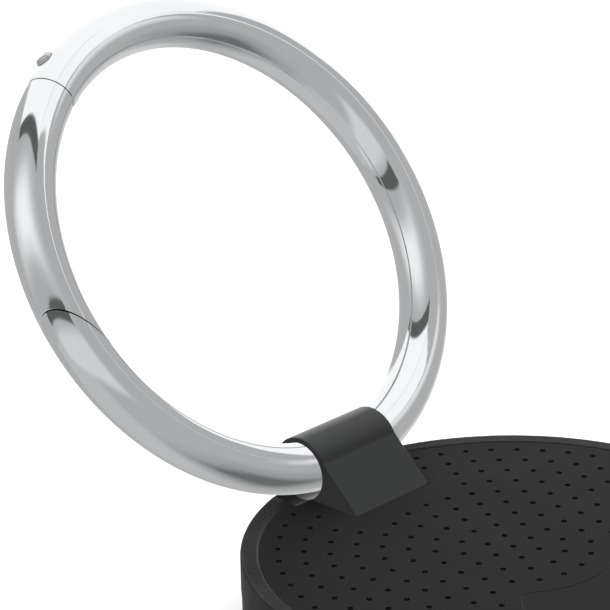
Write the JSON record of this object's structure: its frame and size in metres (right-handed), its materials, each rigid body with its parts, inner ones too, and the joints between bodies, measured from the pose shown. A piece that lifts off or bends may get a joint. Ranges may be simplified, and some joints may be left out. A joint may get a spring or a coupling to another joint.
{
  "type": "bluetooth tracker tag",
  "caption": "Round tracker tag with a perforated front, push key, turning back cover over a coin cell, and a spring-gate key ring in a wedge-shaped lug.",
  "frame": {"origin": "centre of the flat back face", "axes": "+Z out of the perforated front, +Y towards the ring lug, +X completes the right-handed frame"},
  "size_m": [0.0406, 0.0611, 0.0436],
  "materials": {
    "case_plastic": "fine-textured black plastic",
    "panel_plastic": "fine-textured charcoal plastic",
    "lug_plastic": "smooth satin charcoal plastic",
    "inner_plastic": "natural moulded nylon",
    "switch_plastic": "black switch plastic",
    "gasket_plastic": "dark sealing plastic",
    "chip_resin": "black moulding resin",
    "board_laminate": "green solder mask on glass laminate",
    "capacitor_ceramic": "tan ceramic",
    "antenna_ceramic": "white ceramic",
    "piezo_ceramic": "silvered piezo ceramic",
    "mesh_fabric": "woven acoustic mesh",
    "buzzer_brass": "rolled brass",
    "contact_metal": "gold-plated spring strip",
    "shield_metal": "tinned steel",
    "spring_steel": "stainless spring steel",
    "screw_steel": "zinc-plated steel",
    "cell_steel": "nickel-plated steel",
    "cathode_mix": "pressed manganese dioxide",
    "anode_metal": "lithium foil",
    "seal_rubber": "black silicone rubber",
    "ring_chrome": "mirror-polished chrome plating",
    "plug_steel": "polished steel"
  },
  "bodies": {
    "tag": {"case_body": "case_plastic", "front_bezel": "case_plastic", "front_panel": "panel_plastic", "ring_lug": "lug_plastic", "lug_screws": "screw_steel", "switch_housing": "switch_plastic", "switch_dome": "spring_steel", "buzzer_frame": "inner_plastic", "buzzer_plate": "buzzer_brass", "buzzer_ceramic": "piezo_ceramic", "acoustic_mesh": "mesh_fabric", "buzzer_springs": "contact_metal", "circuit_board": "board_laminate", "radio_shield": "shield_metal", "radio_chip": "chip_resin", "chip_antenna": "antenna_ceramic", "crystal": "shield_metal", "chip_capacitors": "capacitor_ceramic", "chassis": "inner_plastic", "board_screws": "screw_steel", "positive_contact": "contact_metal", "negative_contact": "contact_metal", "cell_can": "cell_steel", "cell_gasket": "gasket_plastic", "cell_cap": "cell_steel", "cell_cathode": "cathode_mix", "cell_anode": "anode_metal"},
    "key": {"front_key": "panel_plastic", "switch_plunger": "switch_plastic"},
    "cover": {"back_cover": "case_plastic", "cover_seal": "seal_rubber"},
    "ring": {"ring_body": "ring_chrome", "gate_pivot_pin": "spring_steel", "gate_spring": "spring_steel", "spring_plug": "plug_steel"},
    "gate": {"ring_gate": "ring_chrome"}
  },
  "joints": [
    {"name": "ring_swing", "type": "hinge", "parent": "tag", "child": "ring", "pos_m": [0, 0.01779, 0.01192], "axis": [1, 0, 0], "range_deg": [-40, 115]},
    {"name": "gate_open", "type": "hinge", "parent": "ring", "child": "gate", "pos_m": [-0.00941, 0.03671, 0.03875], "axis": [0.0279, -0.8123, 0.5826], "range_deg": [0, 25], "stiffness_Nm_per_rad": 0.004, "springref_deg": -22.92, "deforming": ["gate_spring"]},
    {"name": "key_press", "type": "slide", "parent": "tag", "child": "key", "axis": [0, 0, -1], "range_m": [0, 0.00025], "stiffness_N_per_m": 4000, "springref_m": -0.0001, "deforming": ["switch_dome"]},
    {"name": "cover_turn", "type": "hinge", "parent": "tag", "child": "cover", "pos_m": [0, 0, 0], "axis": [0, 0, -1], "range_deg": [0, 30]}
  ]
}
